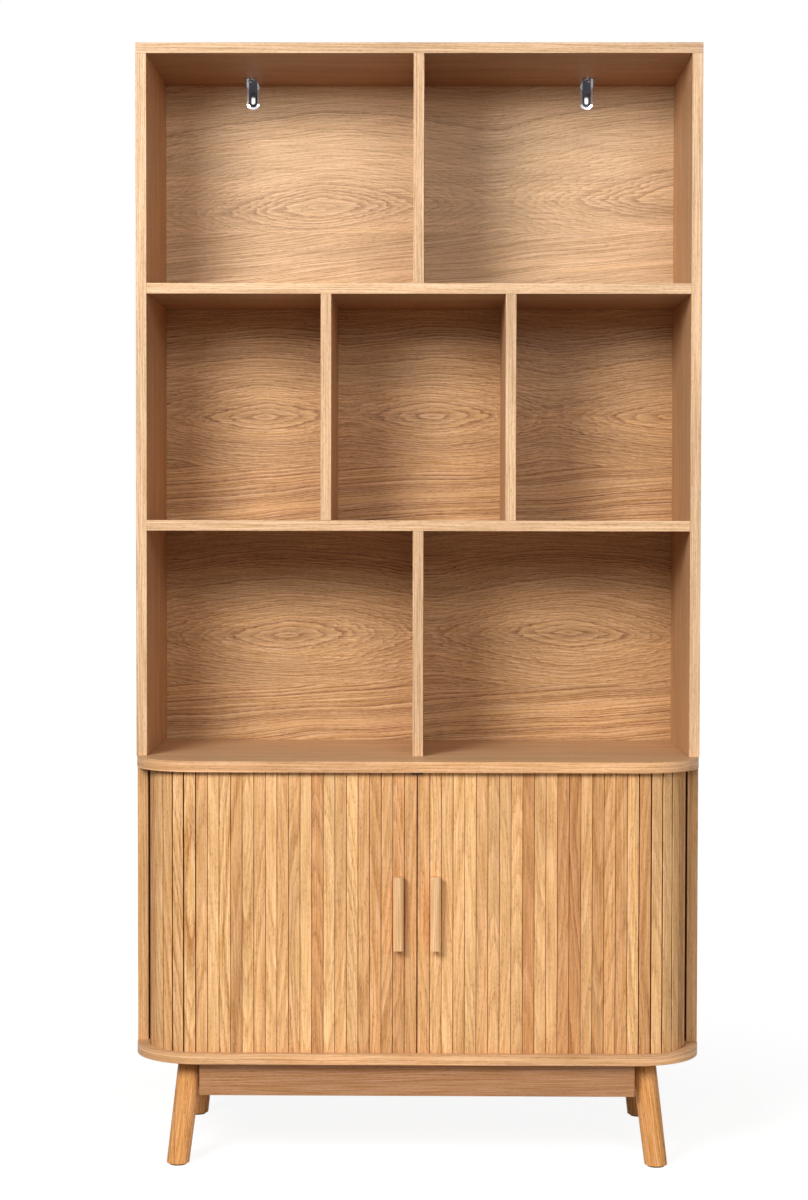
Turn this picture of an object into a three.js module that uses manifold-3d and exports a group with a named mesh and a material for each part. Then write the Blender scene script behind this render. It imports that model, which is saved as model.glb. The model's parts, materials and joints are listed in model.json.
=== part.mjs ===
// Oak bookcase: open shelving over a low cabinet with two sliding tambour doors.
// Millimetres. X runs to the right, Y away from the viewer and Z up. While the pieces are made,
// y = 0 is the front edge of the cabinet and x = 0 the middle. The group at the end moves the
// origin to the middle of the object's footprint, on the floor.

import * as THREE from "three";
import { mergeVertices } from "three/addons/utils/BufferGeometryUtils.js";
import Module from "manifold-3d";

const wasm = await Module();
wasm.setup();

// Case sizes
const caseWidth = 900;
const cabinetDepth = 390;
const upperDepth = 300;
const boardThickness = 17;
const backThickness = 8;
const backPanelGap = 1;
const legHeight = 165;
const cabinetClearHeight = 443;
const bottomRowHeight = 360;
const middleRowHeight = 360;
const topRowHeight = 363;
const cornerRadius = 105;

// Cabinet interior
const innerWallThickness = 12;
const innerWallClearance = 4;
const innerShelfThickness = 15;
const partitionClearance = 10;

// Tambour doors
const slatThickness = 7;
const slatPitchWanted = 18.2;
const slatGap = 0.6;
const slatChamfer = 1;
const leadSlatWidth = 20;
const seamWidth = 1.6;
const canvasThickness = 0.6;
const slatSetback = 13;
const slatSideGap = 5.4;
const bendRadius = 80;
const grooveDepth = 7;
const grooveClearance = 0.6;
const grooveEndWall = 4;
const slatFloorClearance = 0.3;
const slatTopPlay = 2;
const cornerSlats = 7;
const nearSlats = 3;

// Centre stop that the two lead slats close on
const stopWidth = 16;
const stopDrop = 4;
const stopClearance = 0.3;

// Handles
const handleHeight = 116;
const handleWidth = 16;
const handleFootWidth = 12;
const handleProjection = 20;
const handleBroadChamfer = 3.5;
const handleFineChamfer = 1;
const handleScrewSpacing = 64;
const handleScrewReach = 14;

// Screws
const screwShankDiameter = 3.5;
const screwHeadDiameter = 7;
const screwHeadHeight = 2.2;
const screwClearance = 0.3;
const bracketScrewReach = 12;

// Wall brackets
const bracketWidth = 22;
const bracketThickness = 2.5;
const bracketDrop = 40;
const bracketReach = 84;
const bracketInset = 166;
const bracketSlotWidth = 7;
const bracketSlotLength = 13;
const bracketSlotFromEnd = 9;
const bracketScrewFromEnd = 22;

// Base
const railHeight = 53;
const railThickness = 18;
const railSetback = 19;
const railPlateClearance = 5.6;
const sideRailPlateClearance = 1;
const legFootInset = 72;
const legFootSetback = 31;
const legSideSplay = 18;
const legFrontSplay = 26;
const legTopDiameter = 38;
const legFootDiameter = 35;
const legPlateDiameter = 46;
const legPlateThickness = 2.5;
const studDiameter = 8;
const studLength = 26;
const studClearance = 0.3;
const glideDiameter = 27;
const glideHeight = 3;

// Smoothness of curves, and how far a cutting solid passes the faces it cuts
const arcSegments = 14;
const roundSegments = 32;
const smallSegments = 14;
const overrun = 1;
const weldTolerance = 0.0001;

// Levels and places worked out from the sizes above
const halfWidth = caseWidth / 2;
const innerHalf = halfWidth - boardThickness;
const upperFront = cabinetDepth - upperDepth;
const backFront = cabinetDepth - backThickness;
const cabinetBottom = legHeight;
const cabinetFloor = cabinetBottom + boardThickness;
const cabinetCeiling = cabinetFloor + cabinetClearHeight;
const cabinetTop = cabinetCeiling + boardThickness;
const lowerShelfBottom = cabinetTop + bottomRowHeight;
const lowerShelfTop = lowerShelfBottom + boardThickness;
const upperShelfBottom = lowerShelfTop + middleRowHeight;
const upperShelfTop = upperShelfBottom + boardThickness;
const topBottom = upperShelfTop + topRowHeight;
const topTop = topBottom + boardThickness;

const bendX = innerHalf - slatSideGap - bendRadius;
const bendY = slatSetback + bendRadius;
const canvasRadius = bendRadius - slatThickness;
const bendLength = (canvasRadius * Math.PI) / 2;
const frontSlats = Math.round((bendX - leadSlatWidth) / slatPitchWanted);
const slatPitch = (bendX - leadSlatWidth) / frontSlats;
const slatBack = slatSetback + slatThickness;
const slatBottom = cabinetFloor - grooveDepth + slatFloorClearance;
const slatTop = cabinetCeiling + grooveDepth - slatTopPlay;
// A flat slat in the bend stands a little further out at its edges than the bend's own radius.
const slatBulge = Math.hypot(bendRadius, slatPitch / 2) - bendRadius;
const grooveOuter = slatBulge + grooveClearance;
const grooveInner = slatThickness + canvasThickness + slatBulge + grooveClearance;
const grooveEnd = backFront - grooveEndWall;
const handleMiddle = (cabinetFloor + cabinetCeiling) / 2;
const bracketX = halfWidth - bracketInset;

const legFootX = halfWidth - legFootInset;
const legTopX = legFootX - legSideSplay;
const legTopSetback = legFootSetback + legFrontSplay;
// Where the round plates stand beside the front rail's back face, they set how far the rail reaches.
const railBack = railSetback + railThickness;
const plateRadius = legPlateDiameter / 2;
const plateBehindRail = Math.min(plateRadius, Math.max(0, legTopSetback - railBack));
const plateAtRail = Math.sqrt(plateRadius ** 2 - plateBehindRail ** 2);
const railEnd = legTopX - plateAtRail - railPlateClearance;
const sideRailOutside = legTopX - plateRadius - sideRailPlateClearance;

// Materials
function finish(color, roughness, metalness = 0) {
  return new THREE.MeshStandardMaterial({ color, roughness, metalness });
}
const boardOak = finish(0xe0b27c, 0.55);
const cabinetOak = finish(0xd9a972, 0.55);
const backOak = finish(0xc8a078, 0.6);
const slatOak = finish(0xdba970, 0.55);
const handleOak = finish(0xdba775, 0.5);
const legOak = finish(0xd08a4a, 0.4);
const innerBoard = finish(0xcfa878, 0.6);
const polishedSteel = finish(0xd8d8d8, 0.12, 1);
const zincSteel = finish(0xa9abad, 0.4, 1);
const blackPlastic = finish(0x1a1512, 0.5);
const greyFelt = finish(0x5a534c, 0.95);

// A closed geometry as a solid that can be joined and cut
function toSolid(geometry) {
  const bare = geometry.clone();
  bare.deleteAttribute("normal");
  bare.deleteAttribute("uv");
  const welded = mergeVertices(bare, weldTolerance);
  const mesh = new wasm.Mesh({
    numProp: 3,
    vertProperties: welded.attributes.position.array,
    triVerts: new Uint32Array(welded.index.array),
  });
  return new wasm.Manifold(mesh);
}

function toGeometry(solid) {
  const mesh = solid.getMesh();
  const geometry = new THREE.BufferGeometry();
  geometry.setAttribute("position", new THREE.BufferAttribute(mesh.vertProperties, 3));
  geometry.setIndex(new THREE.BufferAttribute(mesh.triVerts, 1));
  geometry.computeVertexNormals();
  return geometry;
}

function cut(geometry, ...tools) {
  const left = tools.reduce((solid, tool) => solid.subtract(toSolid(tool)), toSolid(geometry));
  return toGeometry(left);
}

function join(first, ...others) {
  return toGeometry(others.reduce((solid, other) => solid.add(toSolid(other)), toSolid(first)));
}

function common(first, second) {
  return toGeometry(toSolid(first).intersect(toSolid(second)));
}

// Plain shapes
function box([x0, x1], [y0, y1], [z0, z1]) {
  const block = new THREE.BoxGeometry(x1 - x0, y1 - y0, z1 - z0);
  return block.translate((x0 + x1) / 2, (y0 + y1) / 2, (z0 + z1) / 2);
}

function prism(shape, bottom, top, curveSegments = arcSegments) {
  const options = { depth: top - bottom, bevelEnabled: false, curveSegments };
  return new THREE.ExtrudeGeometry(shape, options).translate(0, 0, bottom);
}

// A round bar from one point to another, its two ends square to it
function bar(from, to, fromDiameter, toDiameter = fromDiameter, segments = smallSegments) {
  const along = to.clone().sub(from);
  const height = along.length();
  const round = new THREE.CylinderGeometry(toDiameter / 2, fromDiameter / 2, height, segments);
  const turn = new THREE.Quaternion().setFromUnitVectors(
    new THREE.Vector3(0, 1, 0),
    along.normalize(),
  );
  const middle = from.clone().add(to).multiplyScalar(1 / 2);
  return round.applyQuaternion(turn).translate(middle.x, middle.y, middle.z);
}

function point(x, y, z) {
  return new THREE.Vector3(x, y, z);
}
const up = point(0, 0, 1);
const forward = point(0, -1, 0);

// A screw with its head's flat underside at a point, its shank running along a unit vector
function screw(seat, direction, reach) {
  const headEnd = seat.clone().addScaledVector(direction, -screwHeadHeight);
  const shankStart = headEnd.clone().addScaledVector(direction, screwHeadHeight / 2);
  const tip = seat.clone().addScaledVector(direction, reach);
  return join(
    bar(headEnd, seat, screwHeadDiameter),
    bar(shankStart, tip, screwShankDiameter),
  );
}

function screwHole(seat, direction, reach) {
  const start = seat.clone().addScaledVector(direction, -overrun);
  const end = seat.clone().addScaledVector(direction, reach + screwClearance);
  return bar(start, end, screwShankDiameter + 2 * screwClearance);
}

// Groups of the object, filled piece by piece
const upperCase = new THREE.Group();
const cabinet = new THREE.Group();
const base = new THREE.Group();
const doors = new THREE.Group();

function add(group, name, geometry, material) {
  const mesh = new THREE.Mesh(geometry, material);
  mesh.name = name;
  group.add(mesh);
}

const sides = [
  { word: "left", sign: -1 },
  { word: "right", sign: 1 },
];

// Span from a to b on one side of the middle, lowest first
function mirrored(sign, a, b) {
  return sign > 0 ? [a, b] : [-b, -a];
}

// Upper case: two sides, two shelves, four dividers, the top and three back panels
function addUpperCase() {
  const depth = [upperFront, backFront];
  const fullDepth = [upperFront, cabinetDepth];
  const between = [-innerHalf, innerHalf];

  for (const { word, sign } of sides) {
    const across = mirrored(sign, innerHalf, halfWidth);
    const panel = box(across, fullDepth, [cabinetTop, topBottom]);
    add(upperCase, `upper_side_${word}`, panel, boardOak);
  }
  const lowerShelf = box(between, depth, [lowerShelfBottom, lowerShelfTop]);
  const upperShelf = box(between, depth, [upperShelfBottom, upperShelfTop]);
  add(upperCase, "shelf_lower", lowerShelf, boardOak);
  add(upperCase, "shelf_upper", upperShelf, boardOak);

  const centred = [-boardThickness / 2, boardThickness / 2];
  const third = (2 * innerHalf - 2 * boardThickness) / 3;
  const bottomRow = [cabinetTop, lowerShelfBottom];
  const middleRow = [lowerShelfTop, upperShelfBottom];
  const topRow = [upperShelfTop, topBottom];
  add(upperCase, "divider_bottom", box(centred, depth, bottomRow), boardOak);
  add(upperCase, "divider_top", box(centred, depth, topRow), boardOak);
  for (const { word, sign } of sides) {
    const across = mirrored(sign, third / 2, third / 2 + boardThickness);
    add(upperCase, `divider_middle_${word}`, box(across, depth, middleRow), boardOak);
  }

  const backDepth = [backFront, cabinetDepth];
  const seams = [lowerShelfBottom, upperShelfBottom].map((z) => z + boardThickness / 2);
  const halfGap = backPanelGap / 2;
  const bottomPanel = box(between, backDepth, [cabinetTop, seams[0] - halfGap]);
  const middlePanel = box(between, backDepth, [seams[0] + halfGap, seams[1] - halfGap]);
  const topPanel = box(between, backDepth, [seams[1] + halfGap, topBottom]);
  add(upperCase, "back_panel_bottom", bottomPanel, backOak);
  add(upperCase, "back_panel_middle", middlePanel, backOak);
  const slots = sides.map(({ sign }) =>
    slotCutter(sign * bracketX, [backFront - overrun, cabinetDepth + overrun]),
  );
  add(upperCase, "back_panel_top", cut(topPanel, ...slots), backOak);

  const top = box([-halfWidth, halfWidth], fullDepth, [topBottom, topTop]);
  const pilots = sides.map(({ sign }) => screwHole(bracketScrewSeat(sign), up, bracketScrewReach));
  add(upperCase, "top_board", cut(top, ...pilots), boardOak);
}

// Where the bracket's screw head bears, on the underside of the bracket's long arm
function bracketScrewSeat(sign) {
  const y = backFront - bracketReach + bracketScrewFromEnd;
  return point(sign * bracketX, y, topBottom - bracketThickness);
}

// An upright slot with round ends, cut along Y
function slotCutter(x, [y0, y1]) {
  const radius = bracketSlotWidth / 2;
  const half = bracketSlotLength / 2 - radius;
  const shape = new THREE.Shape();
  shape.absarc(0, half, radius, 0, Math.PI, false);
  shape.absarc(0, -half, radius, Math.PI, 2 * Math.PI, false);
  const z = topBottom - bracketDrop + bracketSlotFromEnd + bracketSlotLength / 2;
  return prism(shape, 0, y1 - y0, smallSegments)
    .rotateX(Math.PI / 2)
    .translate(x, y1, z);
}

// A flat arm from the origin along +Y, with a round far end
function armShape(length) {
  const radius = bracketWidth / 2;
  const shape = new THREE.Shape();
  shape.moveTo(radius, 0);
  shape.lineTo(radius, length - radius);
  shape.absarc(0, length - radius, radius, 0, Math.PI, false);
  shape.lineTo(-radius, 0);
  shape.closePath();
  return shape;
}

// L brackets under the top board, against the back panel
function addWallBrackets() {
  for (const { word, sign } of sides) {
    const x = sign * bracketX;
    const longArm = prism(armShape(bracketReach), 0, bracketThickness)
      .rotateZ(Math.PI)
      .translate(x, backFront, topBottom - bracketThickness);
    const shortArm = prism(armShape(bracketDrop), 0, bracketThickness)
      .rotateX(-Math.PI / 2)
      .translate(x, backFront - bracketThickness, topBottom);
    const slot = slotCutter(x, [backFront - bracketThickness - overrun, backFront + overrun]);
    const hole = screwHole(bracketScrewSeat(sign), up, bracketThickness);
    add(upperCase, `wall_bracket_${word}`, cut(join(longArm, shortArm), slot, hole), polishedSteel);
    const fastener = screw(bracketScrewSeat(sign), up, bracketScrewReach);
    add(upperCase, `bracket_screw_${word}`, fastener, zincSteel);
  }
}

// Cabinet boards with two round front corners, and the groove that the slats run in
function roundedBoardShape() {
  const shape = new THREE.Shape();
  shape.moveTo(-halfWidth, cabinetDepth);
  shape.lineTo(-halfWidth, cornerRadius);
  shape.absarc(-halfWidth + cornerRadius, cornerRadius, cornerRadius, Math.PI, 1.5 * Math.PI);
  shape.absarc(halfWidth - cornerRadius, cornerRadius, cornerRadius, 1.5 * Math.PI, 2 * Math.PI);
  shape.lineTo(halfWidth, cabinetDepth);
  shape.closePath();
  return shape;
}

function grooveShape() {
  const outer = bendRadius + grooveOuter;
  const inner = bendRadius - grooveInner;
  const shape = new THREE.Shape();
  shape.moveTo(-bendX - outer, grooveEnd);
  shape.lineTo(-bendX - outer, bendY);
  shape.absarc(-bendX, bendY, outer, Math.PI, 1.5 * Math.PI, false);
  shape.absarc(bendX, bendY, outer, 1.5 * Math.PI, 2 * Math.PI, false);
  shape.lineTo(bendX + outer, grooveEnd);
  shape.lineTo(bendX + inner, grooveEnd);
  shape.absarc(bendX, bendY, inner, 2 * Math.PI, 1.5 * Math.PI, true);
  shape.absarc(-bendX, bendY, inner, 1.5 * Math.PI, Math.PI, true);
  shape.lineTo(-bendX - inner, grooveEnd);
  shape.closePath();
  return shape;
}

function addCabinet() {
  const lowerGroove = prism(grooveShape(), cabinetFloor - grooveDepth, cabinetFloor + overrun);
  const upperGroove = prism(grooveShape(), cabinetCeiling - overrun, cabinetCeiling + grooveDepth);
  const bottomBoard = prism(roundedBoardShape(), cabinetBottom, cabinetFloor);
  const topBoard = prism(roundedBoardShape(), cabinetCeiling, cabinetTop);
  add(cabinet, "cabinet_bottom_board", cut(bottomBoard, lowerGroove), cabinetOak);
  add(cabinet, "cabinet_top_board", cut(topBoard, upperGroove), cabinetOak);

  const height = [cabinetFloor, cabinetCeiling];
  const inDepth = [bendY + innerWallClearance, backFront];
  const wallOutside = bendX + bendRadius - grooveInner - innerWallClearance;
  const wallInside = wallOutside - innerWallThickness;
  const partitionFront = slatBack + canvasThickness + partitionClearance;
  // The shelves end where their outer front corners still clear the slats in the bend.
  const sweep = bendRadius - grooveInner;
  const shelfFront = bendY - Math.sqrt(sweep ** 2 - (wallInside + innerWallClearance - bendX) ** 2);
  const shelfMiddle = (cabinetFloor + cabinetCeiling) / 2;
  const shelfHeight = [
    shelfMiddle - innerShelfThickness / 2,
    shelfMiddle + innerShelfThickness / 2,
  ];
  for (const { word, sign } of sides) {
    const outside = mirrored(sign, innerHalf, halfWidth);
    const sidePanel = box(outside, [cornerRadius, cabinetDepth], height);
    add(cabinet, `cabinet_side_${word}`, sidePanel, cabinetOak);
    const innerWall = box(mirrored(sign, wallInside, wallOutside), inDepth, height);
    add(cabinet, `inner_wall_${word}`, innerWall, innerBoard);
    const across = mirrored(sign, boardThickness / 2, wallInside);
    const shelf = box(across, [shelfFront, backFront], shelfHeight);
    add(cabinet, `inner_shelf_${word}`, shelf, innerBoard);
  }
  const partitionAcross = [-boardThickness / 2, boardThickness / 2];
  const partition = box(partitionAcross, [partitionFront, backFront], height);
  add(cabinet, "centre_partition", partition, innerBoard);
  const back = box([-innerHalf, innerHalf], [backFront, cabinetDepth], height);
  add(cabinet, "cabinet_back_panel", back, backOak);

  const stopDepth = [
    slatSetback - grooveOuter + stopClearance,
    slatSetback + grooveInner - stopClearance,
  ];
  const stopHeight = [cabinetCeiling - stopDrop, cabinetCeiling + grooveDepth - stopClearance];
  const stop = box([-stopWidth / 2, stopWidth / 2], stopDepth, stopHeight);
  add(cabinet, "door_stop", stop, blackPlastic);
}

// The slats' path on the right-hand side, along their canvas backing. The station is 0 where the
// bend begins, negative towards the middle and positive round the corner and down the side.
function pathAt(station) {
  if (station <= 0) {
    return {
      at: new THREE.Vector2(bendX + station, slatBack),
      outward: new THREE.Vector2(0, -1),
    };
  }
  if (station < bendLength) {
    const angle = station / canvasRadius;
    const outward = new THREE.Vector2(Math.sin(angle), -Math.cos(angle));
    const at = new THREE.Vector2(bendX, bendY).addScaledVector(outward, canvasRadius);
    return { at, outward };
  }
  return {
    at: new THREE.Vector2(bendX + canvasRadius, bendY + station - bendLength),
    outward: new THREE.Vector2(1, 0),
  };
}

// Outline of a run of slats on their canvas, seen from above
function curtainShape(sign, firstStation, count, pitch) {
  const front = [];
  const back = [];
  for (let i = 0; i < count; i += 1) {
    const { at, outward } = pathAt(firstStation + (i + 1 / 2) * pitch);
    const along = new THREE.Vector2(-outward.y, outward.x);
    const half = (pitch - slatGap) / 2;
    const corner = (side, out) =>
      at.clone().addScaledVector(along, side).addScaledVector(outward, out);
    front.push(
      corner(-half, 0),
      corner(-half, slatThickness - slatChamfer),
      corner(slatChamfer - half, slatThickness),
      corner(half - slatChamfer, slatThickness),
      corner(half, slatThickness - slatChamfer),
      corner(half, 0),
    );
    back.push(corner(-half, -canvasThickness), corner(half, -canvasThickness));
  }
  const outline = [...front, ...back.reverse()];
  return new THREE.Shape(outline.map(({ x, y }) => new THREE.Vector2(sign * x, y)));
}

function curtain(sign, firstStation, count, pitch = slatPitch) {
  return prism(curtainShape(sign, firstStation, count, pitch), slatBottom, slatTop);
}

// The lead slat, notched at its top end to close on the centre stop
function leadSlat(sign) {
  const width = leadSlatWidth - seamWidth / 2 + slatGap / 2;
  const station = seamWidth / 2 - slatGap / 2 - bendX;
  const notch = box(
    mirrored(sign, -overrun, stopWidth / 2 + stopClearance),
    [slatSetback - overrun, slatBack + canvasThickness + overrun],
    [cabinetCeiling - stopDrop - stopClearance, slatTop + overrun],
  );
  return cut(curtain(sign, station, 1, width), notch);
}

// Cross-section of a handle from above: undercut sides, and a broad chamfer on its right
function handleShape(x) {
  const foot = handleFootWidth / 2;
  const half = handleWidth / 2;
  const face = slatSetback - handleProjection;
  const shape = new THREE.Shape();
  shape.moveTo(x - foot, slatSetback);
  shape.lineTo(x - half, face + handleFineChamfer);
  shape.lineTo(x - half + handleFineChamfer, face);
  shape.lineTo(x + half - handleBroadChamfer, face);
  shape.lineTo(x + half, face + handleBroadChamfer);
  shape.lineTo(x + foot, slatSetback);
  shape.closePath();
  return shape;
}

function addDoors() {
  const slatRoot = slatThickness + canvasThickness;
  for (const { word, sign } of sides) {
    const handleX = sign * (leadSlatWidth + slatPitch / 2);
    const screws = [1, -1].map((way) => ({
      word: way > 0 ? "upper" : "lower",
      seat: point(handleX, slatBack + canvasThickness, handleMiddle + (way * handleScrewSpacing) / 2),
    }));
    const holes = screws.map(({ seat }) => screwHole(seat, forward, slatRoot + handleScrewReach));

    add(doors, `${word}_lead_slat`, leadSlat(sign), slatOak);
    const handleSlat = curtain(sign, leadSlatWidth - bendX, 1);
    add(doors, `${word}_handle_slat`, cut(handleSlat, ...holes), slatOak);
    const nearStation = leadSlatWidth + slatPitch - bendX;
    add(doors, `${word}_near_slats`, curtain(sign, nearStation, nearSlats), slatOak);
    const frontStation = nearStation + nearSlats * slatPitch;
    const frontCount = frontSlats - nearSlats - 1;
    add(doors, `${word}_front_curtain`, curtain(sign, frontStation, frontCount), slatOak);
    add(doors, `${word}_corner_curtain`, curtain(sign, 0, cornerSlats), slatOak);

    const handleEnds = [handleMiddle - handleHeight / 2, handleMiddle + handleHeight / 2];
    const handle = prism(handleShape(handleX), ...handleEnds);
    add(doors, `${word}_handle`, cut(handle, ...holes), handleOak);
    for (const { word: level, seat } of screws) {
      const fastener = screw(seat, forward, slatRoot + handleScrewReach);
      add(doors, `${word}_handle_screw_${level}`, fastener, zincSteel);
    }
  }
}

// Base: four rails under the cabinet, and four splayed legs on plates
function addRails() {
  const height = [cabinetBottom - railHeight, cabinetBottom];
  const along = [-railEnd, railEnd];
  const frontDepth = [railSetback, railBack];
  const rearDepth = [cabinetDepth - railBack, cabinetDepth - railSetback];
  add(base, "front_rail", box(along, frontDepth, height), cabinetOak);
  add(base, "rear_rail", box(along, rearDepth, height), cabinetOak);
  for (const { word, sign } of sides) {
    const across = mirrored(sign, sideRailOutside - railThickness, sideRailOutside);
    const rail = box(across, [frontDepth[1], rearDepth[0]], height);
    add(base, `side_rail_${word}`, rail, cabinetOak);
  }
}

function addLeg(name, xSign, front) {
  const footX = xSign * legFootX;
  const topX = xSign * legTopX;
  const footY = front ? legFootSetback : cabinetDepth - legFootSetback;
  const topY = front ? legTopSetback : cabinetDepth - legTopSetback;
  const seat = cabinetBottom - legPlateThickness;
  const foot = point(footX, footY, glideHeight);
  const top = point(topX, topY, seat);
  const axis = top.clone().sub(foot).normalize();

  // The turned blank runs past both ends and is then sawn level at the plate and at the glide.
  const spare = legTopDiameter / 2;
  const blank = bar(
    foot.clone().addScaledVector(axis, -spare),
    top.clone().addScaledVector(axis, spare),
    legFootDiameter,
    legTopDiameter,
    roundSegments,
  );
  const reach = legTopDiameter + overrun;
  const level = box(
    [Math.min(footX, topX) - reach, Math.max(footX, topX) + reach],
    [Math.min(footY, topY) - reach, Math.max(footY, topY) + reach],
    [glideHeight, seat],
  );
  const bore = bar(
    top.clone().addScaledVector(axis, spare),
    top.clone().addScaledVector(axis, -studLength - studClearance),
    studDiameter + 2 * studClearance,
  );
  add(base, `${name}_leg`, cut(common(blank, level), bore), legOak);

  const plateTop = point(topX, topY, cabinetBottom);
  const plate = bar(top, plateTop, legPlateDiameter, legPlateDiameter, roundSegments);
  const stud = bar(
    top.clone().addScaledVector(axis, legPlateThickness / 2),
    top.clone().addScaledVector(axis, -studLength),
    studDiameter,
  );
  add(base, `${name}_leg_plate`, join(plate, stud), zincSteel);
  const glide = bar(point(footX, footY, 0), foot, glideDiameter, glideDiameter, roundSegments);
  add(base, `${name}_glide`, glide, greyFelt);
}

addUpperCase();
addWallBrackets();
addCabinet();
addDoors();
addRails();
addLeg("front_left", -1, true);
addLeg("front_right", 1, true);
addLeg("rear_left", -1, false);
addLeg("rear_right", 1, false);

// The handles reach furthest forward and the boards furthest back.
const bookcase = new THREE.Group();
bookcase.add(upperCase, cabinet, base, doors);
bookcase.position.y = -(slatSetback - handleProjection + cabinetDepth) / 2;

export default bookcase;
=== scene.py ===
"""Looks of the bookcase with sliding doors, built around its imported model"""
import json
import math
from functools import partial

import bmesh
import bpy
from mathutils import Matrix, Vector


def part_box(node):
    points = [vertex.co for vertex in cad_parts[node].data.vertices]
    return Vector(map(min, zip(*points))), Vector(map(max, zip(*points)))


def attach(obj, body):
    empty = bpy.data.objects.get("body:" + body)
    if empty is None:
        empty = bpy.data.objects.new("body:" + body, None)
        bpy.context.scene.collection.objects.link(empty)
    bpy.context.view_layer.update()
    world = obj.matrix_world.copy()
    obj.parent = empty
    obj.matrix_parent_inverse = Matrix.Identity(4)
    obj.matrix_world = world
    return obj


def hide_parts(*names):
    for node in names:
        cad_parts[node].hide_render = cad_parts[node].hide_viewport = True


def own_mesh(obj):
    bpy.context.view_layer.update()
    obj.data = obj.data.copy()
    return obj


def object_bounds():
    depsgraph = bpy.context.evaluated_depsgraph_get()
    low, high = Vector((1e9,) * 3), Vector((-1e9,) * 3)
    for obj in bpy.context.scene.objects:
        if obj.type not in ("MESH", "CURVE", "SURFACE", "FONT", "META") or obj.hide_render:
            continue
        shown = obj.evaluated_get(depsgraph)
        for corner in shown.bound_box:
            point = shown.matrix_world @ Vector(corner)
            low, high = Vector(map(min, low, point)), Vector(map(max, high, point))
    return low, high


bl_info = {
    "name": "Bookcase with sliding doors",
    "version": (1, 0, 0),
    "blender": (4, 5, 0),
    "location": "3D View > Sidebar > Bookcase",
    "description": "Dresses an oak bookcase whose slatted doors slide round its front corners",
    "category": "Object",
}

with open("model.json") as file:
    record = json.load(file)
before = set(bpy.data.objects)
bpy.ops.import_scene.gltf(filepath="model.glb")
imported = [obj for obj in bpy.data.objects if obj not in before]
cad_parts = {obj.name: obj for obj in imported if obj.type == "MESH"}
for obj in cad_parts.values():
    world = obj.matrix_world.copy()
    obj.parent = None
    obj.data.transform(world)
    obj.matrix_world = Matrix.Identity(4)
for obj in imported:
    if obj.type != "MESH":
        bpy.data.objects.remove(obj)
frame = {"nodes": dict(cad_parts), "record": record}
cad_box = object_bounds()

MM = 0.001
SIDES = {"left": -1, "right": 1}
CORNERS = ("front_left", "front_right", "rear_left", "rear_right")

# Points nearer to each other than this are one
WELD = 0.01 * MM
# A face looks along an axis from this share of its normal on
FACING = 0.7

# The oak's grain runs along the first axis of each set, and the second lies across it in the face
GRAIN_LEVEL = ((1, 0, 0), (0, 1, 0), (0, 0, 1))
GRAIN_UPRIGHT = ((0, 0, 1), (0, 1, 0), (1, 0, 0))
GRAIN_LEVEL_BAND = ((1, 1, 0), (0, 0, 1), (0, 0, 0))
GRAIN_UPRIGHT_BAND = ((0, 0, 1), (1, 1, 0), (0, 0, 0))
GRAIN_BACK = ((1, 0, 0), (0, 0, 1), (0, 0, 0))


def linear(hex_value):
    """An sRGB hex colour as the linear colour that shaders take"""
    channels = [(hex_value >> shift & 255) / 255 for shift in (16, 8, 0)]
    return tuple(c / 12.92 if c <= 0.04045 else ((c + 0.055) / 1.055) ** 2.4 for c in channels) + (1.0,)


def setting(kind, convert=lambda value: value, **options):
    """What makes properties of one kind, each from its name, its description and its first value"""
    return lambda name, description, value: kind(
        name=name, description=description, default=convert(value), **options
    )


colour = setting(bpy.props.FloatVectorProperty, linear, size=4, min=0, max=1, subtype="COLOR")
size = setting(
    bpy.props.FloatProperty, lambda length: length * MM, precision=5, subtype="DISTANCE", unit="LENGTH"
)
spot = setting(
    bpy.props.FloatVectorProperty, lambda place: [part * MM for part in place], size=3, precision=4,
    subtype="TRANSLATION", unit="LENGTH",
)
share = setting(bpy.props.FloatProperty, min=0, max=1, subtype="FACTOR")
angle = setting(bpy.props.FloatProperty, subtype="ANGLE", unit="ROTATION")
lens = setting(bpy.props.FloatProperty, subtype="DISTANCE_CAMERA")


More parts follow.
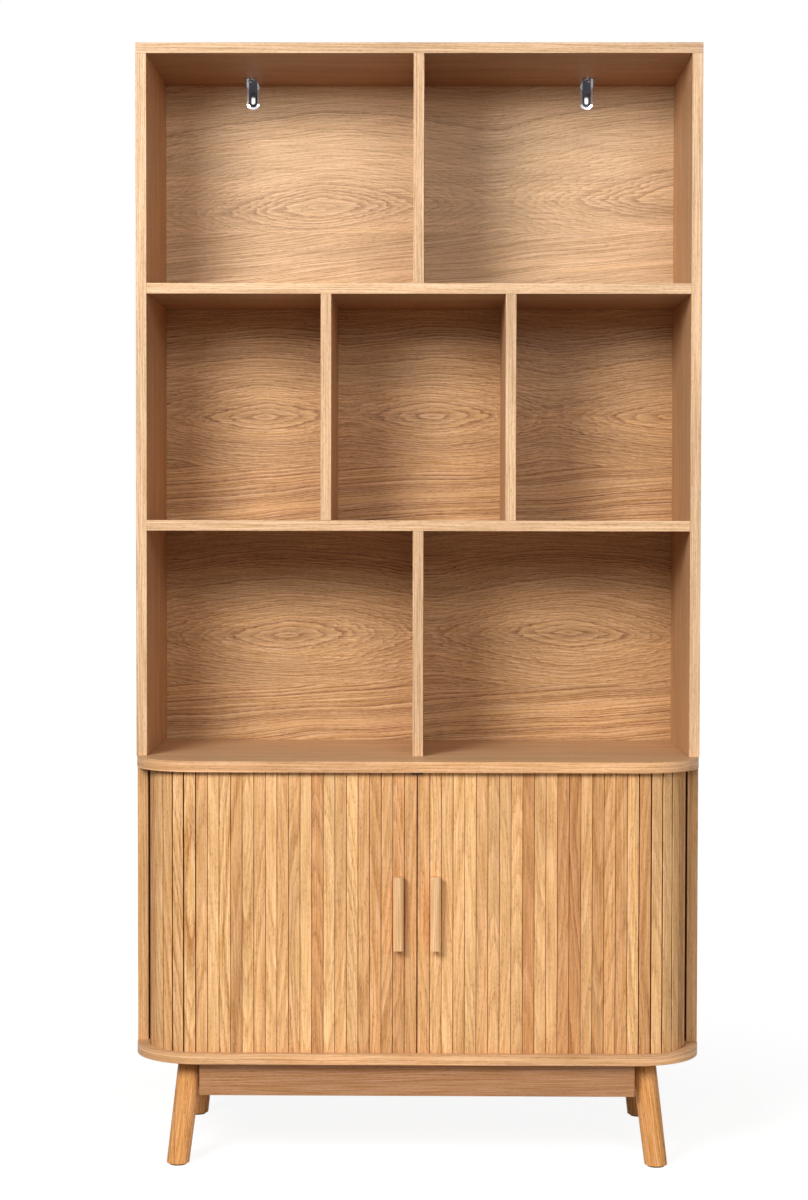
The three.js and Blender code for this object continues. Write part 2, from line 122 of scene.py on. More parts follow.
class BookcaseColours(bpy.types.PropertyGroup):
    """Colours of the finishes"""

    board: colour("Board", "Flat faces of sides and dividers", 0xCC9F74)
    # Shelf tops and undersides are the sides' foil drawn lighter and darker: painted light on top, painted
    # shade below
    board_top: colour("Shelf top", "Upper faces of the shelves", 0xDAAE82)
    board_under: colour("Shelf underside", "Lower faces of the shelves", 0xA07858)
    board_ring: colour("Board rings", "Dark lines on the flat faces", 0xA87548)
    band: colour("Edge band", "Front edges of the boards", 0xE8C096)
    band_ring: colour("Edge band lines", "Dark lines on the front edges", 0xAC7D4F)
    back: colour("Back panel", "Front of the lower back panels", 0xD8AC78)
    # The top back panel is the lower panels' print drawn paler: painted light on the top row
    back_top: colour("Top back panel", "Front of the top back panel", 0xE3BE91)
    back_ring: colour("Back panel rings", "Dark rings on the back panels", 0x6A2E18)
    slat: colour("Slat", "Faces of the light door slats", 0xFFCE92)
    slat_ring: colour("Slat rings", "Dark lines on the light door slats", 0xC08246)
    slat_brown: colour("Brown slat", "Faces of the brown door slats", 0xD99C66)
    slat_brown_ring: colour("Brown slat rings", "Dark lines on the brown door slats", 0x985C34)
    # The grooves' walls are drawn darker brown: partly a stain, partly painted shade between the slats
    groove: colour("Grooves", "Walls of the grooves between the slats", 0x8A5230)
    cabinet_edge: colour("Cabinet board edge", "Edges of the cabinet's boards", 0xEEBA86)
    side_edge: colour("Cabinet side edge", "Front edges of the cabinet's sides", 0xDAAA73)
    # The rails' brown is partly painted shade of the cabinet above
    rail: colour("Rail", "Rails under the cabinet", 0xB2835A)
    handle: colour("Handle", "Bar handles", 0xE6B784)
    handle_ring: colour("Handle lines", "Dark lines on the handles", 0xC69563)
    leg: colour("Leg", "Turned legs", 0xEAA967)
    leg_ring: colour("Leg rings", "Dark lines on the legs", 0xA0622C)
    pore: colour("Pores", "Open pores of the oak", 0x824F23)
    raw: colour("Raw board", "Reverse of the back panels", 0xAA8F6B)
    canvas: colour("Canvas", "Cloth behind the slats", 0x6E4022)
    steel: colour("Polished steel", "Rims and edges of the wall brackets", 0xE4E4E8)
    # The flats' dark steel colour is a painted dark reflection; the bright rims beside them are plain
    # polished steel
    pressed: colour("Pressed steel", "Flat parts of the wall brackets", 0x5E5E64)
    zinc: colour("Zinc", "Screws and leg plates", 0xA9ABAD)
    plastic: colour("Black plastic", "Door stop", 0x20140D)
    felt: colour("Felt", "Glides under the legs", 0x8E7458)
    cover: colour("Cam cover", "Caps on the joint fittings", 0xC8A27C)


class BookcaseGrain(bpy.types.PropertyGroup):
    """Scale of the oak's figure"""

    ring: size("Ring spacing", "Distance between two rings away from the heart line", 4.6)
    band_ring: size("Band line spacing", "Distance between two lines on the edge bands", 3.5)
    slat_ring: size("Slat ring spacing", "Distance between two rings on the slats", 5)
    wander: size("Wander", "How far the fibres sway across the board", 22)
    ripple: size("Ripple", "How far the rings ripple", 4)
    jag: size("Jag", "How far the tips of the arches break along the board", 36)
    eye_centre: size("Eye centre", "Half width of the pale middle of an eye on the back panels", 25)
    eye_taper: share("Eye taper", "Width of an eye of the figure as a share of its length", 0.24)
    heart_bottom: size("Heart line, bottom row", "Height of the figure's middle line", 824)
    heart_middle: size("Heart line, middle row", "Height of the figure's middle line", 1199)
    heart_top: size("Heart line, top row", "Height of the figure's middle line", 1559)


class BookcaseMaking(bpy.types.PropertyGroup):
    """Small sizes that only the looks need"""

    board_easing: size("Board easing", "Rounding of the boards' edges", 0.5)
    slat_easing: size("Slat easing", "Rounding of the slats' edges", 1.1)
    handle_easing: size("Handle easing", "Rounding of the handles' edges", 0.8)
    metal_easing: size("Metal easing", "Rounding of the metal edges", 0.25)
    foot_easing: size("Foot easing", "Rounding at the bottom of a leg", 0.8)
    canvas: size("Canvas", "Thickness of the cloth behind the slats", 0.6)
    plate: size("Bracket plate", "Thickness of a wall bracket", 2.5)
    rim: size("Bracket rim", "Width of the sloped rim on a wall bracket", 4)
    rim_fall: size("Bracket rim fall", "How far the rim slopes back", 0.4)
    dish: size("Bracket dish", "Depth of the pressed middle of a wall bracket", 0.8)
    dish_gap: size("Bracket dish gap", "From the lower end of a bracket to its pressed middle", 6)
    dish_lean: share("Bracket dish lean", "How far the pressed middle turns to the right", 0.035)
    slot_width: size("Wall slot width", "Width of the slot for a wall screw", 7)
    slot_height: size("Wall slot height", "Height of the slot for a wall screw", 13)
    slot_gap: size("Wall slot gap", "From the lower end of a bracket to its slot", 9)
    screw_head: size("Screw head", "Height of a screw's head", 2.2)
    screw_shank: size("Screw shank", "Diameter of a screw's shank", 3.5)
    cover: size("Cam cover", "Diameter of the caps on the joint fittings", 12)
    cover_rise: size("Cam cover rise", "How far a cap stands proud", 0.5)
    cover_front: size("Cam cover place", "From the front of the case back to a cap", 38)
    cover_drop: size("Cam cover drop", "From the top board down to a cap", 34)


class BookcaseStage(bpy.types.PropertyGroup):
    """Camera, lamps and floor"""

    lens: lens("Lens", "Focal length on a 36 mm frame", 72.44)
    eye: spot("Camera place", "Where the camera stands", (18, -3951.9, 1013.8))
    pitch: angle("Camera pitch", "How far the camera looks down", 0.0316)
    yaw: angle("Camera yaw", "How far the camera turns to the left", 0.01045)
    roll: angle("Camera roll", "How far the camera leans", 0.0018)
    aim: share("Lamps' aim", "Height that both softboxes look at, as a share of the bookcase's", 0.4)
    key: spot("Key lamp place", "Where the stronger softbox hangs", (-1420, -2790, 2200))
    fill: spot("Second lamp place", "Where the weaker softbox hangs", (800, -3590, 2200))
    lamp: size("Lamp size", "Width of each softbox", 1300)
    key_share: share("Key share", "The key lamp's share of full light on the front", 0.87)
    fill_share: share("Second share", "The second lamp's share of full light on the front", 0.28)
    card: spot("Card place", "Where a card throws light back at the right corner", (1150, -700, 420))
    card_width: size("Card width", "Width of the card", 700)
    card_share: share("Card share", "The card's share of full light on the corner", 0.2)
    ambient: share("Room light", "Light from all round", 0.08)
    floor: size("Floor width", "Width of the floor", 60000)
    floor_near: size("Floor near", "How far the floor keeps the bookcase's shadow in full", 600)
    floor_far: size("Floor far", "From where on the floor shows no shadow", 1600)
    floor_pale: colour("Floor", "Floor under the bookcase", 0xF0EEEA)
    floor_bounce: colour("Floor bounce", "What the floor further off throws back at the bookcase", 0x4A4846)


def settings_of(group):
    """The scene's settings of this group"""
    return getattr(bpy.context.scene, "bookcase_" + group)


def tint(key):
    """The colour that is set for this finish"""
    return getattr(settings_of("colours"), key)


PREFIXES = ("ShaderNode", "GeometryNode", "FunctionNode", "")
SIGNS = {"+": "ADD", "-": "SUBTRACT", "*": "MULTIPLY", "/": "DIVIDE", "^": "POWER", "*+": "MULTIPLY_ADD"}


def add(tree, kind, *inputs, **settings):
    """A new node of this kind, or a node that is there, with its settings made and its inputs set or linked

    A kind goes without its prefix, and a second word in it is the node's operation. A sign alone is a
    sum. Inputs come in order, or by name in a dict, and a node there gives its first output in use.
    """
    node = kind
    if isinstance(kind, str):
        kind, *operation = ("Math", SIGNS[kind]) if kind in SIGNS else kind.split()
        node = tree.nodes.new(next(p + kind for p in PREFIXES if hasattr(bpy.types, p + kind)))
        if operation:
            node.operation = operation[0]
    for key, value in settings.items():
        setattr(node, key, value)
    for place, item in enumerate(inputs):
        for key, value in (item if isinstance(item, dict) else {place: item}).items():
            if isinstance(value, bpy.types.Node):
                value = next(socket for socket in value.outputs if socket.enabled)
            if isinstance(value, bpy.types.NodeSocket):
                tree.links.new(value, node.inputs[key])
            else:
                node.inputs[key].default_value = value
    return node


def once(name):
    """Runs the maker of a node group only if no group of this name is there"""
    return lambda make: lambda: bpy.data.node_groups.get(name) or make(name)


def new_group(name, kind, inputs):
    """An empty node group, what adds its nodes, and its inputs by name, each a type or a first value"""
    tree = bpy.data.node_groups.new(name, kind)
    for label, value in inputs.items():
        typed = isinstance(value, str)
        socket = tree.interface.new_socket(
            label, in_out="INPUT", socket_type="NodeSocket" + (value if typed else "Float")
        )
        if not typed:
            socket.default_value = value
    return tree, partial(add, tree), add(tree, "NodeGroupInput").outputs


def give_out(tree, kind, values):
    """Ends a node group with its outputs, all of one type, and what each gives"""
    for label in values:
        tree.interface.new_socket(label, in_out="OUTPUT", socket_type="NodeSocket" + kind)
    add(tree, "NodeGroupOutput", values)
    return tree


def uneven_fields(node, place, seed, fields):
    """Noise fields, each with its millimetres along the grain, across it and in depth, and its detail"""
    made = {}
    for name, *steps, detail in fields:
        spread = node("VectorMath MULTIPLY_ADD", place, [1 / (step * MM) for step in steps], seed)
        made[name] = node("TexNoise", {"Vector": spread, "Scale": 1, "Detail": detail})
    return made


@once("Oak figure")
def oak_figure(name):
    """Flat-sawn oak: rings that close into eyes and jagged arches on a heart line, with fibres and pores"""
    # Beyond every face of the bookcase, so that a joint or an eye there doesn't show
    away = 9.0
    tree, node, given = new_group(name, "ShaderNodeTree", {
        "Place": "Vector", "Heart": 0.0, "Slope": 0.0, "Joint": -away, "Eye A": away, "Eye B": away,
        "Eye C": away, "Taper": 0.2, "Spacing": 5 * MM, "Wander": 9 * MM, "Ripple": 2.5 * MM, "Jag": 0.0,
        "Centre": 15 * MM, "Seed": 0.0,
    })
    along, beside, inward = node("SeparateXYZ", given["Place"]).outputs

    # Below the joint comes the next leaf of veneer, cut far from the heart, with these changes
    leaf = node("Math LESS_THAN", beside, given["Joint"])
    start, slope, heart = (
        node("*+", leaf, change, given[key])
        for key, change in (("Seed", 7.3), ("Slope", 0.07), ("Heart", -0.35))
    )
    taper = node("*", node("*+", leaf, -0.85, 1.0), given["Taper"])
    seed = node("CombineXYZ", start, start, start)

    # A slow sway of the fibres, a ripple over it, the breaks in the arches and a slow change of tone
    fields = uneven_fields(node, given["Place"], seed, (
        ("sway", 260, 90, 60, 1), ("ripple", 70, 22, 40, 2), ("jag", 26, 5, 40, 2), ("tone", 400, 45, 60, 2),
    ))
    sway, ripple, jag = (node("-", fields[key], 0.5) for key in ("sway", "ripple", "jag"))
    across = node("-", beside, heart)
    across = node("-", across, node("*", along, slope))
    across = node("*+", sway, given["Wander"], across)
    across = node("*+", ripple, given["Ripple"], across)

    # The face's depth under the rings grows with the distance to the nearest eye
    near = None
    eye_blend = 0.08
    for eye in ("Eye A", "Eye B", "Eye C"):
        gap = node("Math ABSOLUTE", node("-", along, given[eye]))
        near = gap if near is None else node("Math SMOOTH_MIN", near, gap, eye_blend)
    near = node("Math ABSOLUTE", node("*+", jag, given["Jag"], near))
    sunk = node("*", near, taper)

    # A power under 2 gives the arches their pointed tips, and what is added keeps them from a cusp
    pointed, blunt = 1.4, 0.004
    wide = node("^", node("Math ABSOLUTE", across), pointed)
    both = node("+", wide, node("^", sunk, pointed))
    radius = node("^", node("+", both, blunt), 1 / pointed)

    # Uneven yearly growth, then one saw tooth for each ring, and dark and pale runs of years
    unevenness, fall = 3.0, 1.4
    count = node("/", radius, given["Spacing"])
    growth = node("TexNoise", {"W": count, "Scale": 0.3, "Detail": 1}, noise_dimensions="1D")
    count = node("+", node("*+", growth, unevenness, count), start)
    phase = node("Math FRACT", count)
    year = node("TexWhiteNoise", {"W": node("Math FLOOR", count)}, noise_dimensions="1D")
    year = node("MapRange", year, {"To Min": 0.55, "To Max": 1.2})
    run = node("TexNoise", {"W": count, "Scale": 0.11, "Detail": 1}, noise_dimensions="1D")
    run = node("MapRange", run, {"From Min": 0.35, "From Max": 0.65, "To Min": 0.55, "To Max": 1.05})
    fade = node("^", node("-", 1.0, phase), fall)
    line = node("Math MAXIMUM", fade, node("MapRange", phase, {"From Min": 0.8}))

    # Fibres are under 1 mm wide and are drawn at 1.6 mm; pores are 0.3 mm and are drawn at 1.2 mm
    fields |= uneven_fields(node, node("CombineXYZ", along, across, inward), seed, (
        ("fibre", 90, 1.6, 2, 2), ("dash", 14, 2.4, 3, 1), ("pore", 7, 1.2, 2, 0),
    ))
    dash = node("MapRange", fields["dash"], {"From Min": 0.35, "From Max": 0.6, "To Min": 0.65})
    inside = node("/", radius, given["Centre"])
    inside = node("MapRange", inside, {"From Min": 0.35, "To Min": 0.2})
    ring = line
    for part in (year, run, dash, inside):
        ring = node("*", ring, part)
    pore = node("MapRange", fields["pore"], {"From Min": 0.56, "From Max": 0.68})
    pore = node("*", pore, node("MapRange", line, {"To Min": 0.3}))
    return give_out(tree, "Float", {
        "Ring": ring, "Fibre": fields["fibre"], "Pore": pore, "Tone": fields["tone"],
    })


def start_tree(holder):
    """Empties the node tree of a material or world, and gives what adds nodes to it"""
    holder.use_nodes = True
    holder.node_tree.nodes.clear()
    return partial(add, holder.node_tree)


def new_finish(name, base, roughness, values=()):
    """A new material, what adds its nodes, and its shader with these even values"""
    material = bpy.data.materials.new(name)
    material.diffuse_color = base
    node = start_tree(material)
    shader = node("BsdfPrincipled", {"Base Color": base, "Roughness": roughness, **dict(values)})
    node("OutputMaterial", shader)
    return material, node, shader


def paint_oak(node, shader, figure, light, dark, contrast, bump):
    """Light and dark oak mixed by the figure, with pores, and the roughness and bump that go with them"""
    drawn = node("Group", figure, node_tree=oak_figure()).outputs
    pore_share, pore_rough, pore_depth = 0.45, 0.2, 0.2 * MM
    ring = node("*", drawn["Ring"], contrast)
    wood = node("Mix", {0: ring, 6: light, 7: dark}, data_type="RGBA")
    pore = node("*", drawn["Pore"], contrast * pore_share)
    wood = node("Mix", {0: pore, 6: wood, 7: tint("pore")}, data_type="RGBA")
    fibre, tone = (
        node("MapRange", drawn[key], {
            "From Min": 0.25, "From Max": 0.75, "To Min": 1 - swing, "To Max": 1 + swing
        })
        for key, swing in (("Fibre", 0.24), ("Tone", 0.14))
    )

    # Darker fibres are richer in colour
    rich = node("*+", fibre, -0.5, 1.5)
    value = node("*", fibre, tone)
    wood = node("HueSaturation", {"Saturation": rich, "Value": value, "Color": wood})
    even = shader.inputs["Roughness"].default_value
    rough = node("MapRange", drawn["Pore"], {"To Min": even, "To Max": even + pore_rough})
    height = node("-", 1.0, drawn["Pore"])
    relief = node("Bump", {"Strength": bump, "Distance": pore_depth, "Height": height})
    node(shader, {"Base Color": wood, "Roughness": rough, "Normal": relief})


def printed_oak(name, grain, light, dark, contrast, figure):
    """Oak print on board, or a solid oak bar: even, satin, under a thin clear layer that mirrors softly"""
    light, lengths = tint(light), settings_of("grain")
    material, node, shader = new_finish(
        name, light, 0.5, {"Specular IOR Level": 0.3, "Coat Weight": 0.06, "Coat Roughness": 0.25}
    )
    # The place has X along the grain and Y across it
    point = node("TexCoord").outputs["Object"]
    place = node("CombineXYZ", *[node("VectorMath DOT_PRODUCT", point, axis) for axis in grain])
    values = {"Spacing": "ring", "Wander": "wander", "Ripple": "ripple", "Taper": 0.02, **figure}
    for key, value in values.items():
        values[key] = getattr(lengths, value) if isinstance(value, str) else value
    paint_oak(node, shader, {"Place": place, **values}, light, tint(dark), contrast, 0.1)
    return material


def slat_oak(name):
    """Oak veneer on narrow slats, each cut from another place of the sheet, under satin lacquer"""
    lengths = settings_of("grain")
    material, node, shader = new_finish(name, tint("slat"), 0.55, {"Specular IOR Level": 0.06})
    place = node("Attribute", attribute_name="grain_place").outputs["Vector"]
    shift = node("Attribute", attribute_name="slat_shift").outputs["Fac"]

    # Where on the sheet a slat is cut, and which cut is light or brown
    seed_step, widest, brown_fall = 40.0, 2.2, 1.5
    draw = node("TexWhiteNoise", {"W": shift}, noise_dimensions="1D").outputs["Color"]
    heart, eye, spacing = (
        node("MapRange", part, {"To Min": low, "To Max": high})
        for part, (low, high) in zip(
            node("SeparateXYZ", draw).outputs,
            ((-0.03, 0.03), (-0.1, 0.7), (lengths.slat_ring, lengths.slat_ring * widest)),
        )
    )
    seed = node("*", shift, seed_step)
    brown = node("^", node("TexWhiteNoise", {"W": seed}, noise_dimensions="1D"), brown_fall)

    # Below their eased edges the slat walls turn a darker brown, partly a stain and partly painted shade in
    # the seams, so that every seam reads as a dark line
    easing, stain_and_shade_depth = settings_of("making").slat_easing, 0.5 * MM
    depth = node("SeparateXYZ", place).outputs["Z"]
    wall = node("MapRange", depth, {"From Min": easing, "From Max": easing + stain_and_shade_depth})
    light, dark = (
        node("Mix", {
            0: wall, 6: node("Mix", {0: brown, 6: tint(pale), 7: tint(deep)}, data_type="RGBA"),
            7: tint("groove"),
        }, data_type="RGBA")
        for pale, deep in (("slat", "slat_brown"), ("slat_ring", "slat_brown_ring"))
    )
    figure = {
        "Place": place, "Heart": heart, "Eye A": eye, "Spacing": spacing, "Seed": seed, "Taper": 0.11,
        "Wander": 14 * MM, "Ripple": 5 * MM, "Jag": 30 * MM,
    }
    paint_oak(node, shader, figure, light, dark, 0.85, 0.2)
    return material


def leg_oak(name):
    """Turned solid oak, oiled to a warm gold and a little glossier than the slats"""
    material, node, shader = new_finish(name, tint("leg"), 0.5, {"Specular IOR Level": 0.2})
    figure = {
        "Place": node("Attribute", attribute_name="grain_place").outputs["Vector"], "Heart": 0.05,
        "Taper": 0.12, "Spacing": 2.6 * MM, "Wander": 9 * MM, "Ripple": 3 * MM, "Eye A": 0.3,
    }
    paint_oak(node, shader, figure, tint("leg"), tint("leg_ring"), 0.85, 0.15)
    return material


# How many finer layers a plain noise has
NOISE_DETAIL = 3


def metal(name, key, roughness, spread):
    """Plated or polished steel: even colour, with a slight unevenness in its gloss"""
    clouds_per_metre = 300
    material, node, shader = new_finish(name, tint(key), roughness, {"Metallic": 1.0})
    point = node("TexCoord").outputs["Object"]
    cloud = node("TexNoise", {"Vector": point, "Scale": clouds_per_metre, "Detail": NOISE_DETAIL})
    rough = node("MapRange", cloud, {"To Min": roughness - spread, "To Max": roughness + spread})
    node(shader, {"Roughness": rough})
    return material


# What the noise of a matt surface makes of its brightness
GRAINY = {"To Min": 0.8, "To Max": 1.2}
FIBROUS = {"From Min": 0.1, "From Max": 0.4, "To Min": 0.82, "To Max": 1.12}


def matt(name, key, roughness, grain, depth, strength=0.4, detail=NOISE_DETAIL, values=GRAINY, patch=None):
    """A matt surface with a grain of its own size and, where it has one, a slower patchiness over it"""
    material, node, shader = new_finish(name, tint(key), roughness)
    point = node("TexCoord").outputs["Object"]
    cloud = shade = node("TexNoise", {"Vector": point, "Scale": 1 / grain, "Detail": detail})
    if patch:
        shade = node("TexNoise", {"Vector": point, "Scale": 1 / patch, "Detail": NOISE_DETAIL})
        shade = node("*", cloud, shade)
    shade = node("HueSaturation", {"Value": node("MapRange", shade, values), "Color": tint(key)})
    relief = node("Bump", {"Strength": strength, "Distance": depth, "Height": cloud})
    node(shader, {"Base Color": shade, "Normal": relief})
    return material


# What the figure has otherwise than on a board of its own: lengths in metres, or a grain setting's name
FOIL = {"Seed": 3.1, "Heart": 0.31, "Wander": 9 * MM, "Ripple": 3 * MM}
BAND = {"Seed": 7.4, "Heart": 2.0, "Spacing": "band_ring", "Wander": 6 * MM, "Ripple": 2 * MM}
CABINET_BAND = {**BAND, "Seed": 4.6}
RAIL = {"Seed": 5.3, "Heart": 0.06, "Wander": 9 * MM, "Ripple": 3 * MM}
BAR = {"Seed": 1.2, "Heart": 0.5, "Spacing": 4 * MM, "Wander": 3 * MM, "Ripple": 1 * MM}

# Each row's colour, contrast and seed, the height in mm of the joint between its two leaves of veneer,
# its eyes' places in mm along the heart line, and the line's slope
BACKS = {
    # The top row's paler colour is painted light
    "top": ("back_top", 0.58, 5.1, 1510, (-168, 434, 900), 0.04),
    "middle": ("back", 0.95, 10.2, 1112, (-264, 23, 429), 0.0),
    "bottom": ("back", 0.95, 10.2, 737, (-224, 260, 900), 0.0),
}
# Each finish by its name: the function that makes it and the values that it takes, in their order
FINISHES = {
    # Melamine board with an oak print: even and satin; one and the same foil, drawn paler on top of the
    # shelves as painted light and browner below as painted shade
    "Oak foil side": (printed_oak, GRAIN_UPRIGHT, "board", "board_ring", 0.45, FOIL),
    "Oak foil up": (printed_oak, GRAIN_LEVEL, "board_top", "board_ring", 0.45, FOIL),
    "Oak foil down": (printed_oak, GRAIN_LEVEL, "board_under", "board_ring", 0.45, FOIL),
    # Printed edge band: a narrow pale strip of fine straight lines
    "Oak band upright": (printed_oak, GRAIN_UPRIGHT_BAND, "band", "band_ring", 0.65, BAND),
    "Oak band level": (printed_oak, GRAIN_LEVEL_BAND, "band", "band_ring", 0.65, BAND),
    # The cabinet's printed edge band: warmer than the upper case's, with softer lines
    "Oak cabinet band upright": (
        printed_oak, GRAIN_UPRIGHT_BAND, "side_edge", "slat_brown_ring", 0.65, CABINET_BAND
    ),
    "Oak cabinet band level": (
        printed_oak, GRAIN_LEVEL_BAND, "cabinet_edge", "slat_brown_ring", 0.65, CABINET_BAND
    ),
    # Printed hardboard: each back panel has its own eyes and arches along a level heart line
    **{
        "Oak back " + row: (printed_oak, GRAIN_BACK, light, "back_ring", contrast, {
            "Seed": seed, "Heart": "heart_" + row, "Joint": joint * MM, "Slope": slope, "Jag": "jag",
            "Centre": "eye_centre", "Taper": "eye_taper",
            **{"Eye " + letter: eye * MM for letter, eye in zip("ABC", eyes)},
        })
        for row, (light, contrast, seed, joint, eyes, slope) in BACKS.items()
    },
    # Printed rails: drawn brown as painted shade of the cabinet over them, grain along the rail
    "Oak rail": (printed_oak, GRAIN_BACK, "rail", "slat_brown_ring", 0.8, RAIL),
    # Solid oak bar under satin lacquer: fine straight grain
    "Oak handle": (printed_oak, GRAIN_UPRIGHT_BAND, "handle", "handle_ring", 0.35, BAR),
    # Veneered slats: no two alike, light and brown ones in turn
    "Oak slat": (slat_oak,),
    # Turned and oiled oak: a warm gold with slender rings
    "Oak leg": (leg_oak,),
    # Reverse of thin hardboard: dull and even, with short fibres
    "Raw hardboard": (matt, "raw", 0.85, 2.5 * MM, 0.2 * MM, 0.3, 4, FIBROUS, 83.333 * MM),
    # Woven cotton canvas: dark and wholly matt, so that no gap between slats lights up
    "Canvas": (matt, "canvas", 0.95, 0.8 * MM, 0.2 * MM),
    # Moulded ABS: near black, with a fine spark-eroded grain that spreads its highlight
    "Black plastic": (matt, "plastic", 0.5, 0.4 * MM, 0.05 * MM),
    # Self-adhesive foil in the boards' colour: flat and satin
    "Cap film": (matt, "cover", 0.5, 1.5 * MM, 0.02 * MM),
    # Pressed wool felt: dull and fuzzy
    "Felt": (matt, "felt", 0.95, 0.6 * MM, 0.3 * MM),
    # Nickel-plated and polished steel: a bright mirror, blurred a little by the plating
    "Polished steel": (metal, "steel", 0.11, 0.02),
    # Flat of a pressed plate and the arm's underside: dark steel that paints in the dim reflection of the
    # wood round it, a painted reflection
    "Pressed steel": (metal, "pressed", 0.14, 0.03),
    # Zinc-plated steel: grey and half dull
    "Zinc steel": (metal, "zinc", 0.35, 0.08),
}

BODY_OF = {
    node: body for body, nodes in frame["record"]["behaviour"]["bodies"].items() for node in nodes
}


def finish_of(name):
    """The material of this name, made when it isn't there yet"""
    make, *values = FINISHES[name]
    return bpy.data.materials.get(name) or make(name, *values)


def link_new(name, data):
    """A new object in the scene that holds this data"""
    piece = bpy.data.objects.new(name, data)
    bpy.context.scene.collection.objects.link(piece)
    return piece


def link_shell(name, shell):
    """A new object in the scene with this shell as its mesh"""
    mesh = bpy.data.meshes.new(name)
    shell.to_mesh(mesh)
    shell.free()
    return link_new(name, mesh)


def modify(piece, kind, **settings):
    """A new modifier on the piece, with its settings made"""
    modifier = piece.modifiers.new(kind.title(), kind)
    for key, value in settings.items():
        setattr(modifier, key, value)
    return modifier


def settle(piece):
    """The piece's modifiers become its own mesh"""
    graph = bpy.context.evaluated_depsgraph_get()
    mesh = bpy.data.meshes.new_from_object(
        piece.evaluated_get(graph), preserve_all_data_layers=True, depsgraph=graph
    )
    piece.modifiers.clear()
    piece.data = mesh


def store(piece, name, kind, values):
    """Gives each point of the piece its value of a new attribute"""
    data = piece.data.attributes.new(name, kind, "POINT").data
    for item, value in zip(data, values):
        setattr(item, "vector" if kind == "FLOAT_VECTOR" else "value", value)


def stand_for(piece, *nodes):
    """The piece rides on these nodes' body and hides them"""
    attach(piece, BODY_OF[nodes[0]])
    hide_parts(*nodes)


def eased_copy(node, easing, *cutters):
    """The node's shape with its faces joined, these bodies cut out of it and its edges rounded"""
    level, sharp, steps, most_corners = math.radians(0.5), math.radians(25), 3, 8
    shell = bmesh.new()
    shell.from_mesh(frame["nodes"][node].data)
    bmesh.ops.remove_doubles(shell, verts=shell.verts, dist=WELD)
    bmesh.ops.dissolve_limit(shell, angle_limit=level, verts=shell.verts, edges=shell.edges)
    for face in shell.faces:
        face.smooth = True
        face.material_index = 0
    piece = link_shell("dressed_" + node, shell)
    attributes = piece.data.attributes
    for name in ("custom_normal", "sharp_edge", "sharp_face"):
        if name in attributes:
            attributes.remove(attributes[name])
    for cutter in cutters:
        modify(piece, "BOOLEAN", operation="DIFFERENCE", solver="EXACT", object=cutter)
    modify(
        piece, "BEVEL", width=easing, segments=steps, limit_method="ANGLE", angle_limit=sharp,
        harden_normals=True,
    )
    settle(piece)
    if cutters:
        # The cuts leave many-cornered flat faces, which must not shade into the narrow ones round them
        piece.data.attributes.remove(piece.data.attributes["custom_normal"])
        for face in piece.data.polygons:
            face.use_smooth = len(face.vertices) <= most_corners
    for cutter in cutters:
        bpy.data.objects.remove(cutter)
    return piece


def dress(piece, finishes, choose=lambda normal: 0):
    """Gives a piece its finishes, each face the one that is chosen by its normal"""
    piece.data.materials.clear()
    for name in finishes:
        piece.data.materials.append(finish_of(name))
    for face in piece.data.polygons:
        face.material_index = int(choose(face.normal))
    return piece


def dress_node(node, easing, *finishes):
    """The node with its edges rounded, in one finish, or with a second on all that doesn't look forward"""
    piece = eased_copy(node, easing)
    stand_for(dress(piece, finishes, lambda normal: len(finishes) > 1 and normal.y >= -FACING), node)


def make_board(node, upright, band="Oak band"):
    """A printed board with its flat faces and its edge bands"""
    piece = eased_copy(node, settings_of("making").board_easing)
    if upright:
        dress(piece, ("Oak foil side", band + " upright"), lambda normal: abs(normal.x) < FACING)
    else:
        # Upward faces take the foil with painted light, downward faces the foil with painted shade
        dress(
            piece, ("Oak foil up", band + " level", "Oak foil down"),
            lambda normal: 1 if abs(normal.z) < FACING else 0 if normal.z > 0 else 2,
        )
    stand_for(piece, node)


def skin(name, loops):
    """A closed body whose smooth skin runs through these loops of points"""
    shell = bmesh.new()
    rows = [[shell.verts.new(point) for point in loop] for loop in loops]
    for low, high in zip(rows, rows[1:]):
        for step in range(len(low)):
            after = (step + 1) % len(low)
            shell.faces.new((low[step], low[after], high[after], high[step])).smooth = True
    shell.faces.new(rows[0][::-1])
    shell.faces.new(rows[-1])
    bmesh.ops.recalc_face_normals(shell, faces=shell.faces)
    return link_shell(name, shell)


def pill(middle, low, high, radius, round_top=True):
    """Places round an upright pill that faces the front, each with its outward turn"""
    steps = 24
    stops = []
    for level, start in ((low, math.pi), (high, 0)):
        turns = [start + math.pi * step / steps for step in range(steps + 1)]
        for turn in turns if round_top or level == low else turns[::steps]:
            out = Vector((math.cos(turn), 0, math.sin(turn)))
            stops.append((Vector((middle, 0, level)) + out * radius, out))
    return stops


class BOOKCASE_OT_upper_boards(bpy.types.Operator):
    """Top board, sides, shelves and dividers of the open upper case"""

    bl_idname = "bookcase.upper_boards"
    bl_label = "Upper boards"

    def execute(self, context):
        for node in ("top_board", "shelf_upper", "shelf_lower"):
            make_board(node, False)
        for node in (
            "upper_side_left", "upper_side_right", "divider_top", "divider_middle_left",
            "divider_middle_right", "divider_bottom",
        ):
            make_board(node, True)
        return {"FINISHED"}


